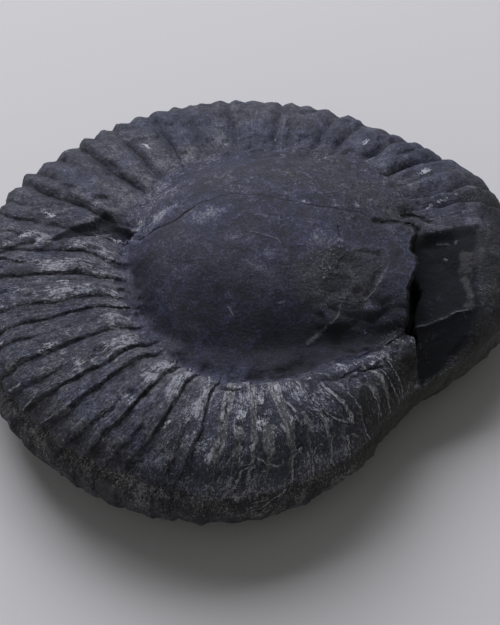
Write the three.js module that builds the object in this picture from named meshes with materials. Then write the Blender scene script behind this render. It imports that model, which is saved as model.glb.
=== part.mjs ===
// A ribbed ammonite turned to black stone, lying on its side. It is one solid:
// a thick ribbed coil around a smooth dome that fills the middle of the coil,
// with a broken hollow and a smooth outer wall where the body chamber was.
//
// The whole surface is a set of rings around the middle of the coil. From the
// middle outwards they climb over the dome, cross the seam, run down the ribbed
// flank to the rim, and come back underneath to a worn flat face.
// Millimetres, +Z up, the worn flat face on z = 0.

import * as THREE from "three";

// ---- Driving dimensions, in millimetres -------------------------------------

// Distances from the middle of the coil, every 15 degrees counterclockwise
// from +X: the widest outline of the stone, and the seam where dome meets coil.
const rimRadii = [
  67, 69, 70.5, 67, 65.5, 66.5, 67, 68, 69.5, 71, 73, 74,
  73.5, 72, 70.5, 68.5, 66, 63.5, 60, 55.5, 51.5, 48, 49, 58,
];
const seamRadii = [
  40, 41.5, 43.5, 44, 42, 39.5, 38, 37, 36.5, 36, 35.3, 33.8,
  32.8, 32.3, 32.8, 33.4, 34, 34.5, 34.4, 34, 34.8, 38, 40.5, 39.5,
];
// Heights above the surface that it lies on, at the same 24 directions.
const crestHeights = [
  33, 34.5, 36, 37, 37.5, 37.5, 37.5, 38, 38, 38, 38, 38,
  38, 38, 38, 38, 38, 38, 38, 37.5, 36.5, 35, 33.5, 32.5,
];
const seamHeights = [
  34, 35, 36, 36.5, 36.5, 36.5, 36.5, 36.5, 36, 35.5, 35, 34.5,
  34, 33.5, 33, 32.5, 32, 32, 32, 32.5, 33, 34, 34, 34,
];
const rimHeight = 20; // the widest ring of the coil
const flatRadius = 30; // the worn flat face underneath

// The dome: its top, the height that it stands on, and how far its foot would
// reach from under its top, every 22.5 degrees.
const domeTop = { x: -3, y: 7, z: 50.5 };
const domeFloor = 33.5;
const domeReach = [52, 47, 40.5, 36, 33, 32, 31.5, 31, 30, 32, 34, 34, 34, 35.5, 42, 53];

// The coil has 36 ribs at the seam, and each one forks in two on its way out.
const ribCount = 36;
const ribLean = 5; // degrees that a groove swings clockwise between seam and rim
const ribDepth = 1.3;
const forkDepth = 0.9;

// The broken hollow lies between these two directions, in degrees.
const hollowFrom = -28;
const hollowTo = 16;
const scoop = { x: 47, y: 2, depth: 2.5, width: 10 }; // a shell-shaped dent in the break

// ---- How finely each zone is divided ------------------------------------------

const samplesPerRib = 6;
const around = ribCount * samplesPerRib;
const domeSteps = [0.12, 0.25, 0.38, 0.5, 0.62, 0.74, 0.84, 0.93, 1];
const flankSteps = [0, 0.12, 0.24, 0.4, 0.54, 0.68, 0.8, 0.9, 1];
const underSteps = [0.2, 0.4, 0.7, 1];

// ---- Small helpers -------------------------------------------------------------

const radians = (degrees) => (degrees * Math.PI) / 180;
const clamp01 = (t) => Math.min(1, Math.max(0, t));
const mix = (a, b, t) => a + (b - a) * t;

/** Smooth step from 0 at a to 1 at b. */
function step(a, b, x) {
  const t = clamp01((x - a) / (b - a));
  return t * t * (3 - 2 * t);
}

/** The larger of two heights, with the crease between them rounded over k. */
function roundedMax(a, b, k) {
  const h = clamp01(0.5 + (0.5 * (a - b)) / k);
  return mix(b, a, h) + k * h * (1 - h);
}

/** The smaller of two heights, rounded in the same way. */
function roundedMin(a, b, k) {
  return -roundedMax(-a, -b, k);
}

/** A smooth closed curve through evenly spaced values, read at an angle. */
function ringValue(values, degrees) {
  const n = values.length;
  const t = (((degrees / 360) * n) % n + n) % n;
  const i = Math.floor(t);
  const f = t - i;
  const [a, b, c, d] = [-1, 0, 1, 2].map((k) => values[(i + k + n) % n]);
  const cubic = 2 * a - 5 * b + 4 * c - d + f * (3 * (b - c) + d - a);
  return b + 0.5 * f * (c - a + f * cubic);
}

/** 1 between two directions, 0 elsewhere, with edges softened over `soft` degrees. */
function between(degrees, from, to, soft) {
  const middle = 0.5 * (from + to);
  const half = 0.5 * (to - from);
  const away = Math.abs(((((degrees - middle + 180) % 360) + 360) % 360) - 180);
  return 1 - step(half - soft, half + soft, away);
}

/** A point at a direction and distance from the middle of the coil. */
function polar(degrees, radius) {
  return { x: radius * Math.cos(radians(degrees)), y: radius * Math.sin(radians(degrees)) };
}

// ---- The dome -------------------------------------------------------------------

/** Height of the dome at a direction, s of the way from the middle to the seam. */
function domeHeight(degrees, s) {
  const seamHeight = ringValue(seamHeights, degrees);
  const { x, y } = polar(degrees, s * ringValue(seamRadii, degrees));
  const dx = x - domeTop.x;
  const dy = y - domeTop.y;
  const bearing = (Math.atan2(dy, dx) * 180) / Math.PI;
  const u = Math.hypot(dx, dy) / ringValue(domeReach, bearing);
  // Steep at the front and left, and a gentle slope down to the back.
  const back = step(-0.3, 0.9, Math.sin(radians(bearing - 5)));
  const fullness = 0.72 + 0.5 * back + 0.1 * between(bearing, -40, 20, 20);
  const floor = mix(domeFloor, seamHeight, s * s);
  const body = floor + (domeTop.z - 34) * Math.pow(clamp01(1 - u * u), fullness);
  const skirt = floor + 7 * Math.pow(clamp01(1 - s), 0.6);
  const height = roundedMax(body, skirt, 3);
  // It meets the coil at the seam, but ends in a cliff along the hollow.
  const closed = 1 - between(degrees, hollowFrom, hollowTo, 1.2);
  return mix(height, seamHeight, closed * Math.pow(s, 12));
}

// ---- The coil --------------------------------------------------------------------

/** The broken hollow: two flat faces that meet in a low ridge. */
function hollowHeight(x, y) {
  const fromScoop = Math.hypot(x - scoop.x, y - scoop.y) / scoop.width;
  const dent = scoop.depth * Math.exp(-(fromScoop ** 2));
  const upper = 31.5 + 0.25 * y + 0.012 * (x - 45) ** 2 - dent;
  const pastRidge = 0.472 * (x - 38.6) - 0.883 * (y + 16.7);
  return roundedMin(upper, 27 - 1.25 * pastRidge, 1);
}

/** How deep the grooves between ribs are cut, q of the way from seam to rim. */
function grooveDepth(degrees, q) {
  const turns = (degrees + ribLean * q) / 360;
  const near = (count) => Math.pow(0.5 + 0.5 * Math.cos(2 * Math.PI * turns * count), 2);
  const main = ribDepth * near(ribCount);
  const forked = forkDepth * (near(2 * ribCount) - near(ribCount)) * step(0.35, 0.6, q);
  const smooth = between(degrees, -62, 24, 14);
  return (main + Math.max(forked, 0)) * step(0, 0.08, q) * (1 - smooth);
}

/** A point on the upper flank, q of the way from the seam to the rim. */
function flankPoint(degrees, q) {
  const seam = ringValue(seamRadii, degrees);
  const rim = ringValue(rimRadii, degrees);
  const crest = ringValue(crestHeights, degrees);
  const seamHeight = ringValue(seamHeights, degrees);
  // A short climb from the seam to the crest, then a shoulder that falls to the rim.
  const climb = 0.24;
  const crestAt = 0.3;
  const shoulder = 2.9 - 1.1 * between(degrees, -50, 8, 14);
  const up = clamp01(q / climb);
  const down = (clamp01((q - climb) / (1 - climb)) * Math.PI) / 2;
  const outward = q < climb ? crestAt * up : mix(crestAt, 1, Math.sin(down) ** (2 / shoulder));
  let radius = mix(seam, rim, outward);
  let height = q < climb
    ? mix(seamHeight, crest, Math.sin((up * Math.PI) / 2))
    : mix(rimHeight, crest, Math.cos(down));
  // The broken hollow takes the place of the shoulder between its two ends.
  const at = polar(degrees, radius);
  const crevice = 3.5 * Math.exp(-(((radius - seam) / 2.2) ** 2)) * between(degrees, -26, -2, 8);
  const broken = roundedMin(hollowHeight(at.x, at.y) - crevice, height, 0.8);
  height = mix(height, broken, between(degrees, hollowFrom, hollowTo, 1.2));
  // Grooves are cut downwards on the shoulder and inwards on the wall.
  const depth = grooveDepth(degrees, q);
  radius -= depth * Math.sin(down);
  height -= depth * Math.cos(down);
  return { ...polar(degrees, radius), z: height };
}

/** A point underneath, q of the way from the rim to the edge of the worn flat. */
function underPoint(degrees, q) {
  const rim = ringValue(rimRadii, degrees);
  const turn = (q * Math.PI) / 2;
  const bulge = 1.2 * Math.sin(Math.PI * clamp01(1.6 * q)) * between(degrees, 150, 300, 25);
  const outward = Math.max(Math.cos(turn), 0) ** (2 / 3.2);
  const depth = grooveDepth(degrees, 1) * (1 - q);
  const radius = mix(flatRadius, rim, outward) + bulge - depth;
  return { ...polar(degrees, radius), z: rimHeight * (1 - Math.sin(turn)) };
}

// ---- The closed surface ------------------------------------------------------------

/** All rings of points, from the middle of the dome to the edge of the flat. */
function surfaceRings() {
  const domePoint = (degrees, s) => ({
    ...polar(degrees, s * ringValue(seamRadii, degrees)),
    z: domeHeight(degrees, s),
  });
  const zones = [[domePoint, domeSteps], [flankPoint, flankSteps], [underPoint, underSteps]];
  const rings = [];
  for (const [point, steps] of zones) {
    for (const q of steps) {
      const ring = [];
      for (let k = 0; k < around; k += 1) ring.push(point((360 * k) / around, q));
      rings.push(ring);
    }
  }
  return rings;
}

/** One closed geometry: a cap of triangles at the top, bands, and a flat face. */
function stoneGeometry() {
  const rings = surfaceRings();
  const positions = [0, 0, domeHeight(0, 0)];
  const faces = [];
  const index = (ring, k) => 1 + ring * around + (k % around);
  for (const ring of rings) {
    for (const { x, y, z } of ring) positions.push(x, y, z);
  }
  for (let k = 0; k < around; k += 1) {
    faces.push(0, index(0, k), index(0, k + 1));
    for (let ring = 0; ring + 1 < rings.length; ring += 1) {
      const [a, b] = [index(ring, k), index(ring, k + 1)];
      const [c, d] = [index(ring + 1, k), index(ring + 1, k + 1)];
      faces.push(a, c, d, a, d, b);
    }
  }
  const last = rings.length - 1;
  const outline = rings[last].map(({ x, y }) => new THREE.Vector2(x, y));
  for (const [a, b, c] of THREE.ShapeUtils.triangulateShape(outline, [])) {
    faces.push(index(last, a), index(last, c), index(last, b));
  }
  const geometry = new THREE.BufferGeometry();
  geometry.setAttribute("position", new THREE.Float32BufferAttribute(positions, 3));
  geometry.setIndex(faces);
  return geometry;
}

/** Moves a geometry so that its box stands on z = 0, centred on x = 0 and y = 0. */
function centred(geometry) {
  geometry.computeBoundingBox();
  const { min, max } = geometry.boundingBox;
  return geometry.translate(-0.5 * (min.x + max.x), -0.5 * (min.y + max.y), -min.z);
}

const blackStone = new THREE.MeshStandardMaterial({
  color: 0x3d3d47,
  roughness: 0.7,
  metalness: 0,
});

const stone = new THREE.Mesh(centred(stoneGeometry()), blackStone);
stone.name = "ammonite_stone";

const ammonite = new THREE.Group();
ammonite.add(stone);

export default ammonite;
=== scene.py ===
# %% [markdown]
# # A ribbed ammonite turned to black stone
#
# An ammonite is the coiled shell of an animal like a squid. This one is solid black
# stone: a thick coil crossed by ribs, a smooth dome of stone filling its middle, and a
# broken hollow on the right where the last part of the shell came away. The packed
# model gives its size and its place. This file builds the surface that is seen.

# %% Load the packed model and keep its box
from types import SimpleNamespace
import bpy
import numpy as np
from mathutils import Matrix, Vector


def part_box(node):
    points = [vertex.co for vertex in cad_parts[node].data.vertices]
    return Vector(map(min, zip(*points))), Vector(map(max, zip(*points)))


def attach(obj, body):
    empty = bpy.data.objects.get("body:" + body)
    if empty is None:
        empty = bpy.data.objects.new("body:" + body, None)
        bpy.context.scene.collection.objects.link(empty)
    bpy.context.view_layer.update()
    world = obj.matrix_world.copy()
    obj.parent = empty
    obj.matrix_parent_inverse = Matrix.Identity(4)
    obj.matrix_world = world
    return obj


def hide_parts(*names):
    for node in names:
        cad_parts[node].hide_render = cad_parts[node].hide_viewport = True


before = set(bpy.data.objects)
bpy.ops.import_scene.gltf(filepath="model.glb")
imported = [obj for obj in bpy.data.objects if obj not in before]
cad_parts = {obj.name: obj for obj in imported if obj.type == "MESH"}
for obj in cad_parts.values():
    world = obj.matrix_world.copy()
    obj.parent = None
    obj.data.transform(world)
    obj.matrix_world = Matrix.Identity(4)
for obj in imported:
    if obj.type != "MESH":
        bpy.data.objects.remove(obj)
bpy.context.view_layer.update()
cad_low, cad_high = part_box("ammonite_stone")
print("stone, mm:", [round(1000 * (b - a), 1) for a, b in zip(cad_low, cad_high)])

# %% [markdown]
# ## Rings around a coil
#
# A coil grows around one middle, so every measure is easiest to give as a ring: one
# value for each direction, counted counterclockwise from +X, with a smooth curve
# through them. A circle or a swept tube would lose the uneven outline that makes a
# stone look found rather than made. All lengths here are millimetres from the middle.

# %% Measures of the coil and the dome, every 15 degrees
RIM_RADII = [67.5, 71, 72.5, 67.5, 65.4, 66.3, 67.5, 68.5, 70, 72, 74.5, 75.5,
             74, 72, 70.5, 68.5, 66, 63.5, 60, 55.5, 51.5, 48, 49, 58]
SEAM_RADII = [40, 41.5, 43.5, 44, 42, 39.5, 38, 37, 36.5, 36, 35.3, 33.8,
              32.8, 32.3, 32.8, 33.4, 34, 34.5, 34.4, 34, 34.8, 38, 40.5, 39.5]
CREST_HEIGHTS = [33, 34.5, 36, 37, 37.5, 37.5, 37.5, 38, 38, 38, 38, 38,
                 38, 38, 38, 38, 38, 38, 38, 37.5, 36.5, 35, 33.5, 32.5]
SEAM_HEIGHTS = [34, 35, 36, 36.5, 36.5, 36.5, 36.5, 36.5, 36, 35.5, 35, 34.5,
                34, 33.5, 33, 32.5, 32, 32, 32, 32.5, 33, 34, 34, 34]
RIM_HEIGHT = 20.0
FLAT_RADIUS = 30.0
DOME_TOP = (-3.0, 7.0)  # seen from above
DOME_FLOOR, DOME_RISE = 33.5, 16.5
# from the top of the dome to its foot, every 22.5 degrees
DOME_REACH = [52, 47, 40.5, 36, 33, 32, 31.5, 31, 30, 32, 34, 34, 34, 35.5, 42, 53]
HOLLOW_FROM, HOLLOW_TO = -28.0, 16.0  # degrees
print("the rim is", min(RIM_RADII), "to", max(RIM_RADII), "mm from the middle")


# %% Blends and soft steps, on whole arrays
def mix(a, b, t):
    """a where t is 0 and b where t is 1."""
    return a + (b - a) * t


def step(a, b, x):
    """A smooth step from 0 at a to 1 at b: 3t^2 - 2t^3 of the way between them."""
    t = np.clip((x - a) / (b - a), 0, 1)
    return t * t * (3 - 2 * t)


def rounded_max(a, b, k):
    """The larger of two heights, with the crease between them rounded over k."""
    h = np.clip(0.5 + 0.5 * (a - b) / k, 0, 1)
    return mix(b, a, h) + k * h * (1 - h)


def rounded_min(a, b, k):
    """The smaller of two heights, rounded in the same way."""
    return -rounded_max(-a, -b, k)


print("a soft step from 0 to 1, read at quarters:", step(0, 1, np.linspace(0, 1, 5)).round(2))


# %% A ring of values, read at any angle
def ring_value(values, degrees):
    """A closed Catmull-Rom curve through evenly spaced values, read at an angle."""
    values = np.asarray(values, float)
    n = len(values)
    t = (np.asarray(degrees) / 360 * n) % n
    i = np.floor(t).astype(int)
    f = t - i
    a, b, c, d = (values[(i + k) % n] for k in (-1, 0, 1, 2))
    return b + 0.5 * f * (c - a + f * (2 * a - 5 * b + 4 * c - d + f * (3 * (b - c) + d - a)))


print("rim at 0, 45 and 90 degrees, mm:", ring_value(RIM_RADII, [0, 45, 90]).round(1))


# %% Soft windows round the coil and along it
def turn_to(degrees, middle):
    """The signed turn from one direction to another, between -180 and 180."""
    return (degrees - middle + 180) % 360 - 180


def between(degrees, start, end, soft):
    """1 between two directions and 0 elsewhere, with edges softened over `soft`."""
    away = np.abs(turn_to(degrees, 0.5 * (start + end)))
    half = 0.5 * (end - start)
    return 1 - step(half - soft, half + soft, away)


def window(x, low, high, soft):
    """1 between two values and 0 elsewhere, with soft edges inside them."""
    return step(low, low + soft, x) * (1 - step(high - soft, high, x))


print("350 degrees lies between -20 and 20:", between(350, -20, 20, 5) == 1)

# %% [markdown]
# ## Directions that follow the ribs
#
# The ribs are the first thing seen on this stone, and a groove between two of them is
# only about a millimetre wide. Columns of points at even angles would cut across the
# grooves and leave them jagged. So the columns follow the grooves: each groove has its
# own column from the middle of the stone to its underside, and nine more are spread
# across the rib beside it, closer together near the groove where the surface bends.

# %% Where grooves cross the middle of the flank, in degrees, and how deep each one is
LONG_GROOVES = {22: 1.4, 27: 1.1, 33: 0.5, 39: 1.8, 48.5: 1.2, 60: 0.9, 67.5: 1.2, 83.5: 1.2,
                97.5: 0.7, 108.9: 0.7, 118.2: 0.8, 128.7: 0.9, 138.4: 1.1, 155.3: 1.1,
                165: 0.9, 174.5: 0.8, 183.4: 0.9, 193.6: 0.6, 198.6: 0.8, 209.3: 1.0,
                219.8: 1.1, 225.5: 1.2, 236.5: 1.2, 245.5: 1.1, 255.4: 1.2, 261.6: 0.6,
                269.5: 0.8, 278.7: 0.8, 288.7: 0.7, 300: 0.6, 311.4: 0.6}
SHORT_GROOVES = {44: 0.4, 54: 0.5, 64: 0.3, 74.5: 0.5, 79: 0.6, 88: 0.5,
                 92.5: 0.7, 102.5: 0.6, 113.7: 0.6, 123.9: 0.6, 133.5: 0.8, 144.3: 0.9,
                 150.3: 0.9, 160.5: 0.9, 170: 0.5, 178.5: 0.7, 188: 0.5, 203.1: 0.8,
                 215: 0.9, 232.3: 1.0, 241.3: 0.8, 252.3: 1.0, 265: 0.7, 272.6: 0.5,
                 283.9: 0.7, 293.9: 0.6, 306.5: 0.5, 317: 0.4}
GROOVES = np.sort(np.array([*LONG_GROOVES, *SHORT_GROOVES], float))
IS_SHORT = np.isin(GROOVES, [*SHORT_GROOVES])
STRENGTHS = np.array([{**LONG_GROOVES, **SHORT_GROOVES}[g] for g in GROOVES])
print(len(LONG_GROOVES), "long grooves and", len(SHORT_GROOVES), "short ones")

# %% How a groove swings and sways on its way out
# How far a groove swings between seam and middle, and between middle and rim,
# every 30 degrees. Minus is clockwise.
SWING_IN = [0, -6.5, -6, 0, -4, -5, -8, -8, -4, 4, 18, 0]
SWING_OUT = [0, 0, 0, -2, -12, -16, -16, -16, -14, -4, 0, 0]


def swung(degrees, q):
    """Direction, at q of the way out, of a line crossing mid-flank at `degrees`.

    Straight swing inside the middle; outside it the swing starts gently.
    """
    past = np.maximum(q - 0.42, 0)
    inner = ring_value(SWING_IN, degrees) * np.minimum(q - 0.5, 0)
    return degrees + inner + ring_value(SWING_OUT, degrees) * past**2 / (past + 0.12)


def wander(index, q):
    """A small sway of a groove to the side, in degrees, that no two grooves share."""
    turn = 2.4 * index
    return (0.35 * np.sin(9 * q + turn) + 0.25 * np.sin(21 * q + 2.1 * turn)
            + 0.13 * np.sin(47 * q + 3.7 * turn))


print("a groove at 180 degrees would reach the rim at:", float(swung(180, 1.0).round(1)))

# %% One column of points for each groove and nine for each rib
ACROSS_A_RIB = [0, 0.06, 0.14, 0.26, 0.4, 0.54, 0.68, 0.81, 0.91, 0.96]
SMOOTH_COLUMNS = 124  # where the wall has no ribs
ribs = len(GROOVES) - 1
rib_of = np.repeat(np.arange(ribs), len(ACROSS_A_RIB))
part_of = np.tile(ACROSS_A_RIB, ribs)
rib_of = np.append(rib_of, np.full(SMOOTH_COLUMNS, ribs))
part_of = np.append(part_of, np.arange(SMOOTH_COLUMNS) / SMOOTH_COLUMNS)
COLUMNS = len(rib_of)
ends = np.append(GROOVES, GROOVES[0] + 360)


def direction(q):
    """Direction of every column at q: between the grooves on its two sides."""
    left = swung(ends[rib_of], q) + wander(rib_of, q)
    right = swung(ends[rib_of + 1], q) + wander((rib_of + 1) % len(GROOVES), q)
    return mix(left, right, part_of)


print(len(GROOVES), "grooves,", COLUMNS, "columns")


# %% [markdown]
# ## The base surface
#
# Three zones share those columns: the dome out to the seam, the flank from the seam
# over the crest and down to the rim, and the underside back in to the worn flat face.
# They use the same formulas as the solid model, without its ribs, so the two agree.

# %% The dome
def dome_point(degrees, s):
    """A point s of the way from the middle to the seam.

    Height = floor + rise * (1 - u^2)^fullness, where u is the distance from the top
    of the dome over its reach in that direction, blended with a low skirt.
    """
    seam = ring_value(SEAM_RADII, degrees) + broken_edge(degrees)
    seam_height = ring_value(SEAM_HEIGHTS, degrees)
    turn = np.radians(degrees)
    x, y = s * seam * np.cos(turn), s * seam * np.sin(turn)
    dx, dy = x - DOME_TOP[0], y - DOME_TOP[1]
    bearing = np.degrees(np.arctan2(dy, dx))
    u = np.hypot(dx, dy) / ring_value(DOME_REACH, bearing)
    back = step(-0.3, 0.9, np.sin(np.radians(bearing - 5)))
    fullness = 0.72 + 0.5 * back + 0.1 * between(bearing, -40, 20, 20)
    floor = mix(DOME_FLOOR, seam_height, s * s)
    body = floor + DOME_RISE * np.clip(1 - u * u, 0, 1) ** fullness
    skirt = floor + 7 * np.clip(1 - s, 0, 1) ** (0.6 + 0.5 * back)
    closed = 1 - between(degrees, HOLLOW_FROM, HOLLOW_TO, 1.2)
    z = mix(rounded_max(body, skirt, 3), seam_height, closed * s**12)
    return np.stack([x, y, z], -1)


def broken_edge(degrees):
    """How far the snapped edge above the hollow steps in or out of the seam's curve."""
    turn = turn_to(degrees, 0)
    steps = np.interp(turn, [-28, -26, -21, -17, -13, -8, -3, -1.2, 1, 4, 9, 12.5, 14, 16],
                      [0, 0.1, -0.7, -1.0, -0.6, 0.1, -0.2, -1.6, -1.9, -1.7, -0.4, -1.1, 0, 0])
    return steps + 0.2 * np.sin(1.3 * turn) * np.sin(0.5 * turn + 1) * (steps != 0)


print("middle of the dome, mm high:", float(dome_point(np.zeros(1), 0.0)[0, 2].round(1)))

# %% The broken hollow
# where the two broken faces meet, as x and y
RIDGE = ([38.6, 41.5, 44.7, 47.5, 50, 54.4, 62], [-15.5, -13.9, -12, -11, -9.5, -9.1, -11])
# how wide the cleft under the snapped edge is: direction, width
CREVICE = ([-28, -25, -20, -15, -10, -6, -2, 4, 12],
           [2.3, 2.9, 2.2, 1.7, 1.6, 1.2, 0.7, 0.5, 0.3])
CREVICE_DEPTH = 7.0


def hollow_height(x, y):
    """Two broken faces that meet in a low ridge, with a shell-shaped scoop."""
    scoop = 1.6 * np.exp(-((x - 46) ** 2 + (y - 3) ** 2) / 60)
    fold = 0.8 * np.abs(0.8 * (x - 50) + 0.6 * (y - 1)) * (x < 54)
    upper = 30.6 + 0.28 * y + 0.006 * (x - 45) ** 2 - scoop + 0.18 * fold
    upper = upper + 0.12 * np.maximum(x - 50, 0) ** 1.5
    below = 0.88 * (np.interp(x, *RIDGE) - y)
    return upper - 0.8 * rounded_max(below, 0, 0.4)


def front_turn(degrees, radius):
    """A direction, measured so that the hollow's bent front edge is one value."""
    turn = turn_to(degrees, 0)
    return turn + 5 * step(43, 48, radius) * step(-10, -24, turn)


def over_hollow(degrees, radius):
    """1 over the hollow: it ends sharply at the front and in a wavy fold at the back."""
    turn = turn_to(degrees, 0) + 1.3 * np.sin(0.5 * (radius - 38))
    front = step(HOLLOW_FROM - 1.2, HOLLOW_FROM + 1.2, front_turn(degrees, radius))
    return front * (1 - step(HOLLOW_TO - 4.5, HOLLOW_TO + 2.5, turn))


print("hollow at its scoop, mm high:", float(hollow_height(46.0, 3.0).round(1)))


# %% The flank, with the hollow in it
def flank_point(degrees, q):
    """A point q of the way from the seam to the rim.

    A quarter sine up to the crest, then a superellipse over the shoulder:
    outward goes with sin^(2 / shoulder) and height with cos.
    """
    seam = ring_value(SEAM_RADII, degrees) + broken_edge(degrees)
    rim, crest = ring_value(RIM_RADII, degrees), ring_value(CREST_HEIGHTS, degrees)
    seam_height = ring_value(SEAM_HEIGHTS, degrees)
    climb, crest_at = 0.24, 0.3
    shoulder = 2.9 - 1.1 * between(degrees, -50, 8, 14)
    up = np.clip(q / climb, 0, 1)
    down = np.clip((q - climb) / (1 - climb), 0, 1) * np.pi / 2
    outward = np.where(q < climb, crest_at * up,
                       mix(crest_at, 1, np.sin(down) ** (2 / shoulder)))
    radius = mix(seam, rim, outward)
    z = np.where(q < climb, mix(seam_height, crest, np.sin(up * np.pi / 2)),
                 mix(RIM_HEIGHT, crest, np.cos(down)))
    x, y = radius * np.cos(np.radians(degrees)), radius * np.sin(np.radians(degrees))
    turn = turn_to(degrees, 0)
    wide = np.interp(turn, *CREVICE)
    crevice = 1 - step(wide - 0.3, wide + 0.5, radius - seam)
    crevice = CREVICE_DEPTH * crevice * step(0.3, 1.2, wide)
    crevice = crevice + 1.2 * np.exp(-(((turn - 12.5) / 2.5) ** 2)) * step(39, 46, radius)
    rounding = mix(0.5, 2.5, step(0.3, 0.6, q))
    broken = rounded_min(hollow_height(x, y) - crevice, z, rounding)
    z = mix(z, broken, over_hollow(degrees, radius))
    return np.stack([x, y, z], -1)


print("rim at 180 degrees, mm:", flank_point(np.full(1, 180.0), 1.0)[0].round(1))


# %% The underside
def under_point(degrees, q):
    """A point q of the way from the rim in to the worn flat: a superellipse."""
    turn = q * np.pi / 2
    bulge = 1.2 * np.sin(np.pi * np.clip(1.6 * q, 0, 1)) * between(degrees, 150, 300, 25)
    outward = np.maximum(np.cos(turn), 0) ** (2 / 3.2)
    radius = mix(FLAT_RADIUS, ring_value(RIM_RADII, degrees), outward) + bulge
    z = RIM_HEIGHT * (1 - np.sin(turn)) + 0 * degrees
    return np.stack([radius * np.cos(np.radians(degrees)),
                     radius * np.sin(np.radians(degrees)), z], -1)


def even_steps(point, start, end, count):
    """Values of q that are evenly spaced along one side of the stone."""
    q = np.linspace(start, end, 2001)
    path = point(np.full(q.shape, 180.0), q)
    far = np.append(0, np.cumsum(np.linalg.norm(np.diff(path, axis=0), axis=1)))
    return np.interp(np.linspace(0, far[-1], count), far, q)


print("even steps under the stone:", even_steps(under_point, 0, 1, 5).round(2))

# %% [markdown]
# ## One grid over the whole stone
#
# Every row is a ring of points, from the middle of the dome to the middle of the flat
# face. The last row of the dome and the first row of the flank share the seam. At the
# hollow they are one above the other, and three rows in between make the cliff, leaning
# in a little under the dome's snapped edge. Close to the two middles the full number of
# columns would crowd together, so every second column stops where they get too dense.

# %% The rows of the dome, and three down the cliff under its snapped edge
DOME_ROWS, FLANK_ROWS, UNDER_ROWS, FLAT_ROWS = 60, 74, 27, 8
SEAM_GAP = 0.08  # mm that the rows on the dome's side keep clear of the seam
SEAM_SHARE = 0.008  # and on the flank's side, as a share of the way out

closed = 1 - between(direction(0.0), HOLLOW_FROM, HOLLOW_TO, 1.2)
rows, travel = [], []
for s in np.linspace(0, 1, DOME_ROWS):
    inset = 1 - SEAM_GAP * closed / ring_value(SEAM_RADII, direction(0.0))
    rows.append(dome_point(direction(0.0), s * inset))
    travel.append(s - 1)
flank_q = even_steps(flank_point, 0, 1, FLANK_ROWS)
first = flank_point(direction(0.0), np.maximum(flank_q[0], SEAM_SHARE * closed))
under_lip = 1.6 * between(direction(0.0), -27, 4, 6)
for t in (0.25, 0.5, 0.75):
    ring = mix(rows[DOME_ROWS - 1], first, t)
    inward = ring[:, :2] / np.linalg.norm(ring[:, :2], axis=1, keepdims=True)
    ring[:, :2] -= inward * (under_lip * np.sin(np.pi * t))[:, None]
    rows.append(ring)
    travel.append(0.0)
print("rows so far:", len(rows))

# %% The rows of the flank, the underside and the flat face
for q in flank_q:
    degrees = direction(q)
    rows.append(flank_point(degrees, np.maximum(q, SEAM_SHARE * closed)))
    travel.append(q)
for q in even_steps(under_point, 0, 1, UNDER_ROWS)[1:]:
    rows.append(under_point(direction(1.0), q))
    travel.append(1 + q)
for s in np.linspace(1, 0, FLAT_ROWS)[1:]:
    rows.append(s * under_point(direction(1.0), 1.0))
    travel.append(3 - s)
base = np.stack(rows)
travel = np.array(travel)
q_of = np.clip(travel, 0, 1)
degrees = np.stack([direction(q) for q in q_of])
travel = travel[:, None] + 0 * degrees
print("grid:", base.shape)

# %% Which way the base surface faces
down_rows = np.gradient(base, axis=0)
along_ring = np.roll(base, -1, axis=1) - np.roll(base, 1, axis=1)
outward = np.cross(down_rows, along_ring)
outward /= np.linalg.norm(outward, axis=-1, keepdims=True) + 1e-12
outward[0], outward[-1] = (0, 0, 1), (0, 0, -1)
FLANK_MM, DOME_MM = 42, 35  # roughly from seam to rim, and from middle to seam
from_seam = np.where(travel > 0, FLANK_MM * travel, DOME_MM * travel)
seam_face = outward[DOME_ROWS - 5] + outward[DOME_ROWS + 7]
seam_face /= np.linalg.norm(seam_face, axis=-1, keepdims=True)
outward = mix(outward, seam_face, (closed * np.exp(-((from_seam / 1.6) ** 2)))[..., None])
outward /= np.linalg.norm(outward, axis=-1, keepdims=True)
x, y, z = np.moveaxis(base, -1, 0)
radius = np.hypot(x, y)
on_flank = window(travel, -0.02, 1.6, 0.02)
print("faces out at the rim:", outward[DOME_ROWS + 3 + FLANK_ROWS, 0].round(2))

# %% [markdown]
# ## Ribs
#
# The ribs of this kind of shell are wide and lean forward. Each has a gentle back and
# a steep front, so a groove is not an even furrow: it drops sharply on one side and
# rises slowly on the other. Every second groove starts only half-way out, which is how
# a rib comes to fork in two. Under the rim the ribs fade into low scallops.

# %% Grooves cut into the flank
# how deep a groove of strength 1 is, every 30 degrees
GROOVE_DEPTHS = [0, 1.3, 1.1, 1.1, 1.5, 1.6, 1.1, 0.9, 1.05, 0.75, 0.55, 0]
CREST_AT = 0.91  # the highest line of a rib, from its groove at 0 to the next at 1
RIB_DEGREES = 5.2  # how wide a rib usually is
FAR_AWAY = 9.0  # mm, given to a point that no groove, crack or line comes near


def groove_strength(index, q):
    """How much of its full depth a groove has at q.

    Long grooves start just inside the seam and short ones half-way out. Each has its
    own depth, and all of them fade where the stone turns under.
    """
    start = np.where(IS_SHORT[index], 0.3, -0.05)
    grow = np.where(IS_SHORT[index], 0.25, 0.2)
    deep = STRENGTHS[index]
    fade = 1 - 0.2 * step(0.72, 0.95, q) - 0.4 * step(1.1, 1.5, q) - 0.4 * step(1.4, 1.8, q)
    return deep * step(0, 1, (q - start) / grow) * fade


print("depth of a long groove at its start, middle and rim:",
      groove_strength(0, np.array([0, 0.5, 1.0])).round(2))


# %% [markdown]
# ## Unevenness
#
# No rib of a real stone is ruled with a straight edge. What makes one differ from the
# next here is noise: fixed numbers on a grid, blended smoothly in between. They come
# from a formula and not from a random draw, so the stone is the same each time.


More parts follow.
